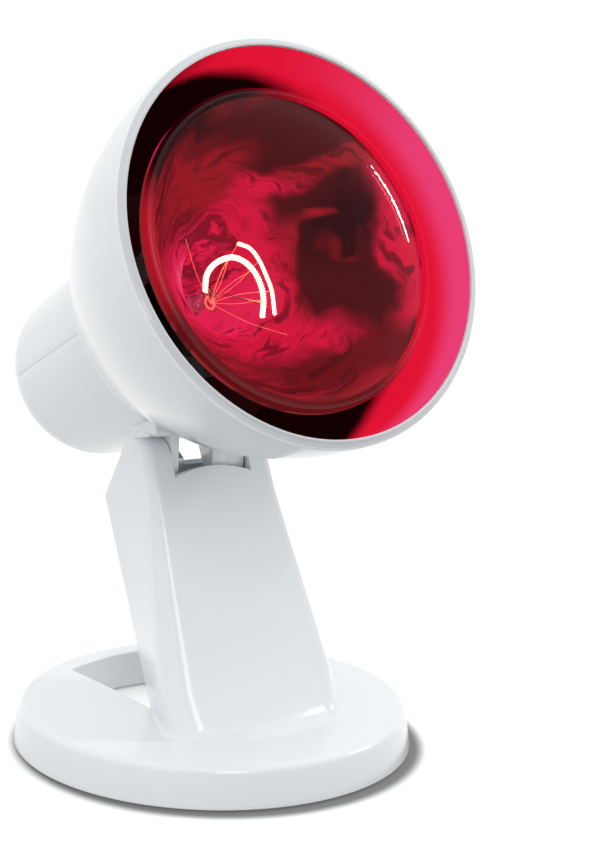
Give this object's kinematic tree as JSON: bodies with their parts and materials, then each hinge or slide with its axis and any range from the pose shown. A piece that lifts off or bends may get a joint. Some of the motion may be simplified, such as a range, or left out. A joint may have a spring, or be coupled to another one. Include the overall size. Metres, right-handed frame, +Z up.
{
  "type": "infrared heat lamp",
  "caption": "Tabletop infrared heat lamp: round base with an opening, leaning column, bell shade tilting on a yoke, red reflector lamp in a screw holder.",
  "frame": {"origin": "middle of the round base at table level, on the underside of the middle foot", "axes": "+Z up, the lamp shines towards -Y, the tilt axis runs along X"},
  "size_m": [0.156, 0.194, 0.2699],
  "materials": {
    "white_moulding": "glossy injection moulding",
    "white_shade": "glossy injection moulding",
    "grey_plate": "fine texture",
    "ballast_steel": "dull primer",
    "foot_rubber": "matte",
    "inlet_rubber": "satin",
    "terminal_plastic": "satin",
    "zinc_steel": "zinc plated",
    "bracket_steel": "rolled sheet",
    "brass": "drawn",
    "lead_sleeving": "braided glass sleeving",
    "friction_fibre": "pressed fibre",
    "holder_ceramic": "white glaze",
    "ruby_glass": "clear ruby, lit from behind",
    "mirrored_glass": "vapour-coated",
    "cap_brass": "pressed sheet",
    "cap_vitrite": "black insulator glass",
    "cap_solder": "soldered contact",
    "stem_glass": "clear",
    "lamp_wire": "nickel wire",
    "glowing_filament": "white hot"
  },
  "bodies": {
    "stand": {"stand_shell": "white_moulding", "column_cover": "white_moulding", "base_plate": "grey_plate", "ballast_plate": "ballast_steel", "rubber_feet": "foot_rubber", "base_screws": "zinc_steel", "cover_screws": "zinc_steel", "cord_inlet_bush": "inlet_rubber", "terminal_block": "terminal_plastic", "terminal_screws": "brass", "stand_leads": "lead_sleeving", "pivot_bolt": "zinc_steel", "pivot_washer": "zinc_steel", "pivot_nut": "zinc_steel", "friction_disc_left": "friction_fibre", "friction_disc_right": "friction_fibre"},
    "head": {"trunnion_clip": "zinc_steel", "shade": "white_shade", "housing_upper": "white_moulding", "housing_lower": "white_moulding", "housing_screws": "zinc_steel", "shade_screws": "zinc_steel", "lamp_holder": "holder_ceramic", "holder_thread_sleeve": "brass", "holder_centre_contact": "brass", "holder_terminal_screws": "brass", "holder_bracket": "bracket_steel", "bracket_screws": "zinc_steel", "head_leads": "lead_sleeving"},
    "lamp": {"lamp_lens": "ruby_glass", "lamp_reflector": "mirrored_glass", "lamp_cap": "cap_brass", "lamp_cap_insulator": "cap_vitrite", "lamp_cap_contact": "cap_solder", "lamp_stem": "stem_glass", "lamp_lead_wires": "lamp_wire", "lamp_filament_supports": "lamp_wire", "lamp_filament": "glowing_filament"}
  },
  "joints": [
    {"name": "head_tilt", "type": "hinge", "parent": "stand", "child": "head", "pos_m": [0, 0.018, 0.108], "axis": [-1, 0, 0], "range_deg": [-35, 30]},
    {"name": "lamp_turn", "type": "hinge", "parent": "head", "child": "lamp", "pos_m": [0, -0.00583, 0.1812], "axis": [0, -0.9174, 0.3979], "range_deg": [0, 90]}
  ]
}
